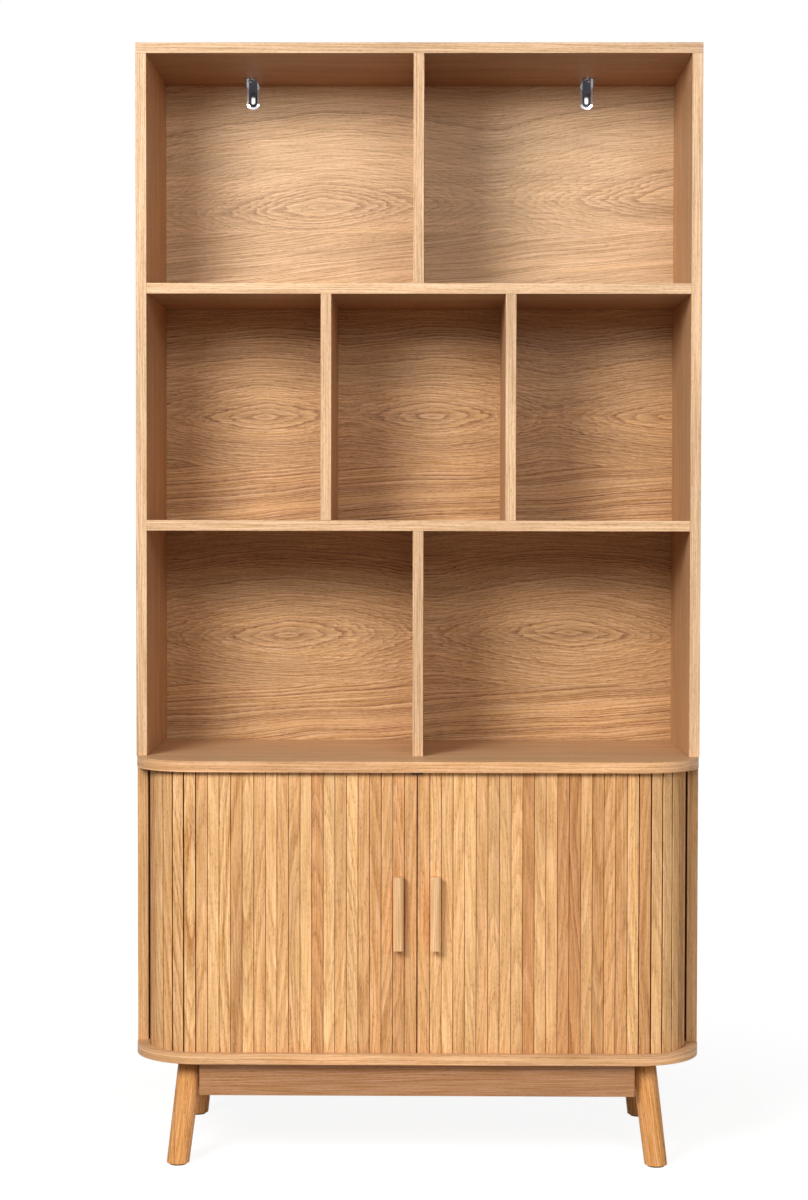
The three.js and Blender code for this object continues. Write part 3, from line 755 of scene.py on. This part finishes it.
class BOOKCASE_OT_back_panels(bpy.types.Operator):
    """Back panels with the figured print in front and raw board behind"""

    bl_idname = "bookcase.back_panels"
    bl_label = "Back panels"

    def execute(self, context):
        easing = settings_of("making").metal_easing
        top = eased_copy("back_panel_top", easing, *self.wall_slots())
        dress(top, ("Oak back top", "Raw hardboard"), lambda normal: normal.y >= -FACING)
        stand_for(top, "back_panel_top")
        for node, row in (
            ("back_panel_middle", "middle"), ("back_panel_bottom", "bottom"), ("cabinet_back_panel", "bottom")
        ):
            dress_node(node, easing, "Oak back " + row, "Raw hardboard")
        return {"FINISHED"}

    def wall_slots(self):
        """Bodies that cut the wall screws' slots through the panel behind the brackets"""
        making = settings_of("making")
        lo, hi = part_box("back_panel_top")
        for side in SIDES:
            foot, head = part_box("wall_bracket_" + side)
            radius = making.slot_width / 2
            low = foot.z + making.slot_gap + radius
            high = foot.z + making.slot_gap + making.slot_height - radius
            around = [place for place, _ in pill((foot.x + head.x) / 2, low, high, radius)]
            depths = (lo.y - 1 * MM, hi.y + 1 * MM)
            yield skin("wall_slot", [[place + Vector((0, depth, 0)) for place in around] for depth in depths])


class BOOKCASE_OT_cabinet_boards(bpy.types.Operator):
    """Round-cornered boards, sides and inner boards of the cabinet, and its door stop"""

    bl_idname = "bookcase.cabinet_boards"
    bl_label = "Cabinet boards"

    def execute(self, context):
        for node in ("cabinet_top_board", "cabinet_bottom_board", "inner_shelf_left", "inner_shelf_right"):
            make_board(node, False, "Oak cabinet band")
        for node in ("inner_wall_left", "inner_wall_right", "centre_partition"):
            make_board(node, True)
        for side in SIDES:
            make_board("cabinet_side_" + side, True, "Oak cabinet band")
        dress_node("door_stop", settings_of("making").metal_easing, "Black plastic")
        return {"FINISHED"}


@once("Curtain path")
def curtain_path(name):
    """Point and turn of a place on the doors' path: along the front, round the bend, back along the side"""
    keys = ("Station", "Side", "Bend X", "Bend Y", "Radius")
    tree, node, given = new_group(name, "GeometryNodeTree", dict.fromkeys(keys, "Float"))
    station, side, bend_x, bend_y, radius = (given[key] for key in keys)
    turn = node("Clamp", node("/", station, radius), 0.0, math.pi / 2)
    quarter = node("*", radius, math.pi / 2)
    after = node("Math MAXIMUM", node("-", station, quarter), 0.0)
    out = node("+", bend_x, node("Math MINIMUM", station, 0.0))
    out = node("*+", radius, node("Math SINE", turn), out)
    back = node("-", bend_y, node("*", radius, node("Math COSINE", turn)))
    return give_out(tree, "Float", {
        "X": node("*", out, side), "Y": node("+", back, after),
        "Turn": node("*", turn, side),
    })


def thicken(node, sheet, reach):
    """A closed body between a sheet and where it stands when it is pushed out this far"""
    raised = node(
        "ExtrudeMesh", {"Mesh": sheet, "Offset Scale": reach, "Individual": False}, mode="FACES"
    )
    body = node("JoinGeometry", raised)
    node(body, node("FlipFaces", sheet))
    return node("MergeByDistance", body, {"Distance": WELD})


@once("Slat run")
def slat_run(name):
    """A run of slats set side by side on the doors' path, with the canvas that joins them"""
    path_keys = ("Side", "Bend X", "Bend Y", "Radius")
    keys = ("First cell", "Pitch", "Gap", "Thickness", "Easing", "Bottom", "Top", "Canvas")
    tree, node, given = new_group(name, "GeometryNodeTree", {
        **dict.fromkeys(path_keys + keys, "Float"), "Cells": "Int", "Seed": "Int",
        "Slat finish": "Material", "Canvas finish": "Material",
    })
    first, pitch, gap, thickness, easing, bottom, top, canvas_thickness = (given[key] for key in keys)
    path_inputs = {key: given[key] for key in path_keys}
    height = node("-", top, bottom)
    here = node("SeparateXYZ", node("InputPosition")).outputs

    # One slat standing at the middle of its cell, its back on the canvas
    width = node("-", pitch, gap)
    outline = node("CurvePrimitiveQuadrilateral", {"Width": width, "Height": thickness})
    outline = node(
        "FilletCurve", outline, {"Radius": easing, "Count": 4, "Limit Radius": True}, mode="POLY"
    )
    foot = node("CombineXYZ", {"Y": node("*", thickness, -0.5), "Z": bottom})
    slat = node("FillCurve", outline, mode="NGONS")
    slat = thicken(node, node("Transform", slat, {"Translation": foot}), height)
    grain = node("CombineXYZ", here["Z"], here["X"], node("+", here["Y"], thickness))
    slat = node(
        "StoreNamedAttribute", slat, {"Name": "grain_place", "Value": grain},
        data_type="FLOAT_VECTOR", domain="POINT",
    )

    # The slats stand at the cells' middles along the path
    index = node("InputIndex")
    cell = node("+", node("+", index, first), 0.5)
    station = node("*", cell, pitch)
    path = node("GeometryNodeGroup", {"Station": station, **path_inputs}, node_tree=curtain_path()).outputs
    point = node("CombineXYZ", path["X"], path["Y"])
    turn = node("EulerToRotation", node("CombineXYZ", {"Z": path["Turn"]}))
    points = node("Points", {"Count": given["Cells"], "Position": point})
    slats = node("InstanceOnPoints", points, {"Instance": slat, "Rotation": turn})
    draw = node("RandomValue", {"ID": index, "Seed": given["Seed"]}, data_type="FLOAT")
    slats = node(
        "StoreNamedAttribute", slats, {"Name": "slat_shift", "Value": draw},
        data_type="FLOAT", domain="INSTANCE",
    )

    # The canvas behind them is bent along the same path
    length = node("*", given["Cells"], pitch)
    sheet = node("MeshGrid", {
        "Size X": node("-", length, gap), "Size Y": height, "Vertices X": 65, "Vertices Y": 2,
    })
    start = node("*", first, pitch)
    station = node("+", node("*+", length, 0.5, start), here["X"])
    path = node("GeometryNodeGroup", {"Station": station, **path_inputs}, node_tree=curtain_path()).outputs
    level = node("+", node("*+", height, 0.5, bottom), here["Y"])
    bent = node("CombineXYZ", path["X"], path["Y"], level)
    sheet = node("SetPosition", sheet, {"Position": bent})
    inward = node("*", node("*", canvas_thickness, given["Side"]), -1.0)
    canvas = node(
        "StoreNamedAttribute", thicken(node, sheet, inward),
        {"Name": "is_canvas", "Value": True}, data_type="BOOLEAN", domain="FACE",
    )

    both = node("JoinGeometry", slats)
    node(both, canvas)
    both = node("RealizeInstances", both)
    both = node("SetMaterial", both, {"Material": given["Slat finish"]})
    is_canvas = node("InputNamedAttribute", {"Name": "is_canvas"}, data_type="BOOLEAN")
    both = node(
        "SetMaterial", both, {"Selection": is_canvas, "Material": given["Canvas finish"]}
    )
    return give_out(tree, "Geometry", {"Geometry": both})


def grow(name, tree, values, seats=()):
    """A new piece made by a geometry tree on these points, with its inputs given by name"""
    mesh = bpy.data.meshes.new(name)
    mesh.from_pydata(seats, [], [])
    piece = link_new(name, mesh)
    modifier = modify(piece, "NODES", node_group=tree)
    for item in tree.interface.items_tree:
        if item.in_out == "INPUT" and item.name in values:
            modifier[item.identifier] = values[item.name]
    settle(piece)
    materials = piece.data.materials
    if None in materials[:]:
        materials.pop(index=materials[:].index(None))
    shell = bmesh.new()
    shell.from_mesh(piece.data)
    bmesh.ops.recalc_face_normals(shell, faces=shell.faces)
    shell.to_mesh(piece.data)
    shell.free()
    return piece


class BOOKCASE_OT_door_slats(bpy.types.Operator):
    """Slatted doors: the slats that travel with each handle, and the runs that feed round the corners"""

    bl_idname = "bookcase.door_slats"
    bl_label = "Door slats"

    # Each run's piece, the nodes that it replaces, its first cell from the bend, its cells and its seed
    runs = (
        ("_door_slats", ("_handle_slat", "_near_slats"), -18.0, 4, 11),
        ("_front_slats", ("_front_curtain",), -14.0, 14, 21),
        ("_corner_slats", ("_corner_curtain",), 0.0, 7, 44),
    )
    # Where on the sheet of veneer the two slats at the seam are cut
    lead_shifts = {"left": 0.37, "right": 0.61}

    def execute(self, context):
        making = settings_of("making")
        for side, sign in SIDES.items():
            one, near, front, corner = (
                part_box(side + node) for _, nodes, *_ in self.runs for node in nodes
            )
            width, thickness = one[1].x - one[0].x, one[1].y - one[0].y - making.canvas
            pitch = (near[1].x - near[0].x - width) / 2
            gap = pitch - width
            bend_x = max(abs(front[0].x), abs(front[1].x)) + gap / 2
            radius = max(abs(corner[0].x), abs(corner[1].x)) - bend_x
            shared = {
                "Side": float(sign), "Pitch": pitch, "Gap": gap, "Thickness": thickness,
                "Easing": making.slat_easing, "Bend X": bend_x, "Bend Y": front[0].y + radius,
                "Radius": radius - thickness, "Bottom": front[0].z, "Top": front[1].z,
                "Canvas": making.canvas, "Slat finish": finish_of("Oak slat"),
                "Canvas finish": finish_of("Canvas"),
            }
            for name, nodes, first, cells, seed in self.runs:
                values = {**shared, "First cell": first, "Cells": cells, "Seed": seed + sign}
                run = grow(side + name, slat_run(), values)
                stand_for(run, *[side + node for node in nodes])
                if "_front_curtain" in nodes:
                    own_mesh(run)
            self.make_lead(side)
        return {"FINISHED"}

    def make_lead(self, side):
        """The first slat at the seam, notched for the door stop"""
        node = side + "_lead_slat"
        lo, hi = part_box(node)
        piece = dress(eased_copy(node, settings_of("making").board_easing), ["Oak slat"])
        corner = Vector(((lo.x + hi.x) / 2, lo.y, 0))
        places = [vertex.co - corner for vertex in piece.data.vertices]
        store(piece, "grain_place", "FLOAT_VECTOR", [place.zxy for place in places])
        store(piece, "slat_shift", "FLOAT", [self.lead_shifts[side]] * len(places))
        stand_for(piece, node)


class BOOKCASE_OT_handles(bpy.types.Operator):
    """Bar handles of solid oak"""

    bl_idname = "bookcase.handles"
    bl_label = "Handles"

    def execute(self, context):
        for side in SIDES:
            dress_node(side + "_handle", settings_of("making").handle_easing, "Oak handle")
        return {"FINISHED"}


class BOOKCASE_OT_brackets(bpy.types.Operator):
    """Wall brackets under the top board, with a sloped rim and a pressed middle on the drop"""

    bl_idname = "bookcase.brackets"
    bl_label = "Wall brackets"

    def execute(self, context):
        making = settings_of("making")
        # How far the cutters reach past the plate, what keeps their faces off its own, and what stays
        # between the rim and the pressed middle
        past, clear, between = 1 * MM, 0.02 * MM, 0.2 * MM
        # From how much of its normal a face counts as flat: forward on the drop, down on the arm
        flat_front, flat_below = 0.998, 0.9
        for side in SIDES:
            node = "wall_bracket_" + side
            lo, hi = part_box(node)
            front = hi.y - making.plate
            middle, radius = (lo.x + hi.x) / 2, (hi.x - lo.x) / 2
            top = hi.z - making.plate - making.metal_easing
            edge = pill(middle, lo.z + radius, top, radius, round_top=False)
            stops = ((past, -past), (past, making.rim_fall * (1 + past / making.rim)), (-making.rim, -clear))
            rim = skin("rim_cut", [
                [place + out * reach + Vector((0, front + depth, 0)) for reach, depth in stops]
                for place, out in edge[-1:] + edge[:-1]
            ])
            width = radius - making.rim - between
            low = lo.z + making.dish_gap + width
            pressed = [place for place, _ in pill(middle, low, top - making.plate, width, round_top=False)]
            dish = skin("dish_cut", [
                [place + Vector((0, front + depth + (place.x - middle) * lean, 0)) for place in pressed]
                for depth, lean in ((-past, 0), (making.dish, making.dish_lean))
            ])
            piece = eased_copy(node, making.metal_easing, rim, dish)
            # Forward flats of the drop and the arm's underside take the steel with the painted dark
            # reflection
            dress(
                piece, ("Polished steel", "Pressed steel"),
                lambda normal: normal.y < -flat_front or normal.z < -flat_below,
            )
            stand_for(piece, node)
        return {"FINISHED"}


def set_on_seats(tree, node, given, shape):
    """One of this shape on each seat, all looking along the direction, in the given finish"""
    turn = node("AlignRotationToVector", {"Vector": given["Direction"]}, axis="Z")
    row = node("InstanceOnPoints", given["Seats"], {"Instance": shape, "Rotation": turn})
    row = node("RealizeInstances", row)
    row = node("SetMaterial", row, {"Material": given["Finish"]})
    return give_out(tree, "Geometry", {"Geometry": row})


@once("Screw set")
def screw_set(name):
    """Pan-head screws with a cross recess, one on each point, all looking one way"""
    tree, node, given = new_group(name, "GeometryNodeTree", {
        "Seats": "Geometry", "Direction": "Vector", "Finish": "Material",
        **dict.fromkeys(("Head", "Head height", "Shank", "Reach"), "Float"),
    })

    # Half an outline from the head's crown to the tip: heights and radii as shares of these measures
    steps = (
        ("Head height", -1.0, "Head", 0.6), ("Head height", -0.92, "Head", 0.8),
        ("Head height", -0.7, "Head", 0.95), ("Head height", -0.4, "Head", 1.0),
        ("Head height", 0.0, "Head", 1.0), ("Head height", 0.0, "Shank", 1.0),
        ("Reach", 0.85, "Shank", 1.0), ("Reach", 1.0, "Shank", 0.2),
    )
    place = node("InputIndex")
    height, radius = (
        node("IndexSwitch", {"Index": place}, data_type="FLOAT") for _ in ("height", "radius")
    )
    for switch in (height, radius):
        while len(switch.index_switch_items) < len(steps):
            switch.index_switch_items.new()
    for step, (length, level, width, reach) in enumerate(steps, 1):
        node(height, {step: node("*", given[length], level)})
        node(radius, {step: node("*", given[width], reach)})
    rod = node("MeshLine", {"Count": len(steps), "Offset": (0, 0, 1)})
    rod = node("MeshToCurve", rod)
    rod = node("SetPosition", rod, {"Position": node("CombineXYZ", {"Z": height})})
    ring = node("CurvePrimitiveCircle", {"Resolution": 24, "Radius": 1.0})
    body = node("CurveToMesh", rod, {"Profile Curve": ring, "Scale": radius, "Fill Caps": True})

    # The cross recess: its depth, its arms' length and width, and where it starts
    deep, long, slim, crown = (
        node("*", given[key], part)
        for key, part in (("Head height", 1.2), ("Head", 1.1), ("Head", 0.28), ("Head height", -1.0))
    )
    crown = node("CombineXYZ", {"Z": crown})
    for sides in ((long, slim), (slim, long)):
        arm = node("MeshCube", node("CombineXYZ", *sides, deep))
        arm = node("Transform", arm, {"Translation": crown})
        body = node("MeshBoolean DIFFERENCE", {"Mesh 1": body, "Mesh 2": arm}, solver="EXACT")
        body = node("MergeByDistance", body, {"Distance": WELD / 10})
    return set_on_seats(tree, node, given, body)


@once("Cover set")
def cover_set(name):
    """Thin round caps, one on each point, all looking one way"""
    tree, node, given = new_group(name, "GeometryNodeTree", {
        "Seats": "Geometry", "Direction": "Vector", "Finish": "Material", "Radius": "Float", "Rise": "Float",
    })
    rise = given["Rise"]
    cap = node("MeshCylinder", {"Vertices": 48, "Radius": given["Radius"], "Depth": rise})
    lift = node("CombineXYZ", {"Z": node("*", rise, 0.5)})
    return set_on_seats(tree, node, given, node("Transform", cap, {"Translation": lift}))


class BOOKCASE_OT_screws(bpy.types.Operator):
    """Screws of the wall brackets and of the handles, and the caps on the joint fittings"""

    bl_idname = "bookcase.screws"
    bl_label = "Screws and caps"

    def execute(self, context):
        making = settings_of("making")
        self.make_screws("bracket_screws", ["bracket_screw_" + side for side in SIDES], Vector((0, 0, 1)))
        for side in SIDES:
            nodes = [side + "_handle_screw_" + place for place in ("upper", "lower")]
            self.make_screws(side + "_handle_screws", nodes, Vector((0, -1, 0)))
        for side, sign in SIDES.items():
            board = "upper_side_" + side
            lo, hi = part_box(board)
            seat = Vector((
                hi.x if sign < 0 else lo.x, lo.y + making.cover_front, hi.z - making.cover_drop
            ))
            values = {
                "Direction": (-float(sign), 0.0, 0.0), "Radius": making.cover / 2,
                "Rise": making.cover_rise, "Finish": finish_of("Cap film"),
            }
            cap = grow(side + "_cam_cover", cover_set(), values, [seat])
            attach(cap, BODY_OF[board])
        return {"FINISHED"}

    def make_screws(self, name, nodes, direction):
        """One piece with a screw in each of the nodes' places"""
        making = settings_of("making")
        seats = []
        for node in nodes:
            lo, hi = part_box(node)
            length = abs((hi - lo).dot(direction))
            seats.append((lo + hi) / 2 - direction * (length / 2 - making.screw_head))
        head = max(part for part, way in zip(hi - lo, direction) if not way) / 2
        values = {
            "Direction": tuple(direction), "Head": head, "Head height": making.screw_head,
            "Shank": making.screw_shank / 2, "Reach": length - making.screw_head,
            "Finish": finish_of("Zinc steel"),
        }
        stand_for(grow(name, screw_set(), values, seats), *nodes)


class BOOKCASE_OT_base(bpy.types.Operator):
    """Rails under the cabinet, leg plates and glides"""

    bl_idname = "bookcase.base"
    bl_label = "Base"

    def execute(self, context):
        making = settings_of("making")
        for node in ("front_rail", "rear_rail", "side_rail_left", "side_rail_right"):
            dress_node(node, making.board_easing, "Oak rail")
        for corner in CORNERS:
            dress_node(corner + "_leg_plate", making.metal_easing, "Zinc steel")
            dress_node(corner + "_glide", making.board_easing, "Felt")
        return {"FINISHED"}


def ring_at(node, height):
    """Middle and radius of the node's outermost ring at this height"""
    ring = [v.co for v in frame["nodes"][node].data.vertices if abs(v.co.z - height) < 10 * WELD]
    low, high = (Vector(pick(point[axis] for point in ring) for axis in range(3)) for pick in (min, max))
    middle = (low + high) / 2
    return middle, max((point - middle).length for point in ring)


class BOOKCASE_OT_legs(bpy.types.Operator):
    """Turned legs, splayed outwards, with an eased foot"""

    bl_idname = "bookcase.legs"
    bl_label = "Legs"

    def execute(self, context):
        for corner in CORNERS:
            self.make_leg(corner + "_leg", settings_of("making").foot_easing)
        return {"FINISHED"}

    def make_leg(self, node, easing):
        """A smooth turned leg between the foot and the top of the node"""
        (foot, foot_radius), (top, top_radius) = (ring_at(node, corner.z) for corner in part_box(node))
        height = top.z - foot.z
        foot_steps, upper_steps, around = 6, 8, 64
        # Each ring's height over the foot and its radius
        rings = []
        for step in range(foot_steps + 1):
            turn = math.pi / 2 * step / foot_steps
            rings.append((easing * (1 - math.cos(turn)), foot_radius - easing * (1 - math.sin(turn))))
        for step in range(1, upper_steps + 1):
            reach = easing + (height - easing) * step / upper_steps
            rings.append((reach, foot_radius + (top_radius - foot_radius) * reach / height))
        turns = [2 * math.pi * step / around for step in range(around)]
        loops, places = [], []
        for reach, radius in rings:
            outs = [Vector((math.cos(turn), math.sin(turn), 0)) * radius for turn in turns]
            loops.append([foot.lerp(top, reach / height) + out for out in outs])
            places += [(reach + foot.x + foot.y, out.x, out.y) for out in outs]
        piece = skin("turned_" + node, loops)
        store(piece, "grain_place", "FLOAT_VECTOR", places)
        stand_for(dress(piece, ["Oak leg"]), node)


class BOOKCASE_OT_stage(bpy.types.Operator):
    """Camera, two softboxes, a card, room light and a pale floor"""

    bl_idname = "bookcase.stage"
    bl_label = "Stage"

    def execute(self, context):
        stage = settings_of("stage")
        self.make_camera(context, stage)
        low, high = cad_box
        middle = Vector((0, low.y, low.z + (high.z - low.z) * stage.aim))
        corner = Vector((high.x, low.y, stage.card[2]))
        self.make_lamp("Key", stage.key, middle, stage.key_share, stage.lamp)
        self.make_lamp("Second", stage.fill, middle, stage.fill_share, stage.lamp)
        self.make_lamp("Card", stage.card, corner, stage.card_share, stage.card_width)
        self.make_world(context, stage.ambient)
        self.make_floor(stage)
        context.scene.view_settings.view_transform = "Standard"
        return {"FINISHED"}

    def make_camera(self, context, stage):
        """The photograph's view"""
        camera = bpy.data.cameras.new("Camera")
        camera.lens = stage.lens
        camera.clip_end = 100
        viewer = link_new("Camera", camera)
        turn = (
            Matrix.Rotation(stage.yaw, 4, "Z")
            @ Matrix.Rotation(math.pi / 2 - stage.pitch, 4, "X")
            @ Matrix.Rotation(stage.roll, 4, "Z")
        )
        viewer.matrix_world = Matrix.Translation(Vector(stage.eye)) @ turn
        context.scene.camera = viewer

    def make_lamp(self, name, place, target, part, width):
        """A soft lamp, unseen itself, whose light on the target is this share of full light"""
        reach = target - Vector(place)
        lamp = bpy.data.lights.new(name, "AREA")
        lamp.shape = "DISK"
        lamp.size = width
        lamp.energy = math.pi ** 2 * reach.length_squared * part
        holder = link_new(name, lamp)
        holder.visible_camera = False
        holder.location = place
        holder.rotation_euler = reach.to_track_quat("-Z", "Y").to_euler()

    def make_world(self, context, ambient):
        """Weak light from all round, and white for what the camera, metal and glass see"""
        world = bpy.data.worlds.new("Room")
        context.scene.world = world
        node = start_tree(world)
        level = node("MapRange", self.seen_rays(node), {"To Min": ambient})
        node("OutputWorld", node("Background", {"Color": (1, 1, 1, 1), "Strength": level}))

    def seen_rays(self, node):
        """1 for camera, glossy and transmission rays"""
        rays = node("LightPath").outputs
        seen = node("Math MAXIMUM", rays["Is Camera Ray"], rays["Is Glossy Ray"])
        return node("Math MAXIMUM", seen, rays["Is Transmission Ray"])

    def make_floor(self, stage):
        """A pale painted floor that shows white and keeps a soft shadow"""
        # Its own light near the bookcase and far away, and that light's share in what the camera sees
        near_glow, far_glow, glow_share = 1.21, 1.35, 0.75
        shell = bmesh.new()
        bmesh.ops.create_grid(shell, x_segments=1, y_segments=1, size=stage.floor / 2)
        floor = link_shell("floor", shell)
        material = bpy.data.materials.new("Pale floor")
        node = start_tree(material)
        seen = self.seen_rays(node)
        away = node("VectorMath LENGTH", node("TexCoord").outputs["Object"])
        near = node("MapRange", away, {
            "From Min": stage.floor_near, "From Max": stage.floor_far, "To Min": 1.0, "To Max": 0.0
        })
        level = node("MapRange", near, {"To Min": far_glow, "To Max": near_glow})
        glow = node("Emission", {"Color": (1, 1, 1, 1), "Strength": level})
        pale = node(
            "Mix", {0: node("Math MAXIMUM", near, seen), 6: stage.floor_bounce, 7: stage.floor_pale},
            data_type="RGBA",
        )
        paint = node("BsdfDiffuse", {"Color": pale})
        both = node("MixShader", node("*", seen, glow_share), paint, glow)
        node("OutputMaterial", both)
        floor.data.materials.append(material)


OPERATORS = (
    BOOKCASE_OT_stage,
    BOOKCASE_OT_upper_boards,
    BOOKCASE_OT_back_panels,
    BOOKCASE_OT_cabinet_boards,
    BOOKCASE_OT_door_slats,
    BOOKCASE_OT_handles,
    BOOKCASE_OT_brackets,
    BOOKCASE_OT_screws,
    BOOKCASE_OT_base,
    BOOKCASE_OT_legs,
)
SETTINGS = {
    "bookcase_colours": BookcaseColours,
    "bookcase_grain": BookcaseGrain,
    "bookcase_making": BookcaseMaking,
    "bookcase_stage": BookcaseStage,
}


class BOOKCASE_PT_panel(bpy.types.Panel):
    """Lists the makers of the bookcase's pieces"""

    bl_label = "Bookcase"
    bl_idname = "BOOKCASE_PT_panel"
    bl_space_type = "VIEW_3D"
    bl_region_type = "UI"
    bl_category = "Bookcase"

    def draw(self, context):
        for operator in OPERATORS:
            self.layout.operator(operator.bl_idname)


def register():
    """Registers the settings, operators and panel"""
    for name, settings in SETTINGS.items():
        bpy.utils.register_class(settings)
        setattr(bpy.types.Scene, name, bpy.props.PointerProperty(type=settings))
    for operator in OPERATORS:
        bpy.utils.register_class(operator)
    bpy.utils.register_class(BOOKCASE_PT_panel)


def unregister():
    """Takes the panel, operators and settings away again"""
    bpy.utils.unregister_class(BOOKCASE_PT_panel)
    for operator in reversed(OPERATORS):
        bpy.utils.unregister_class(operator)
    for name, settings in SETTINGS.items():
        delattr(bpy.types.Scene, name)
        bpy.utils.unregister_class(settings)


def main():
    """Makes every piece in order"""
    register()
    for operator in OPERATORS:
        group, name = operator.bl_idname.split(".")
        getattr(getattr(bpy.ops, group), name)()


if __name__ == "__main__":
    main()
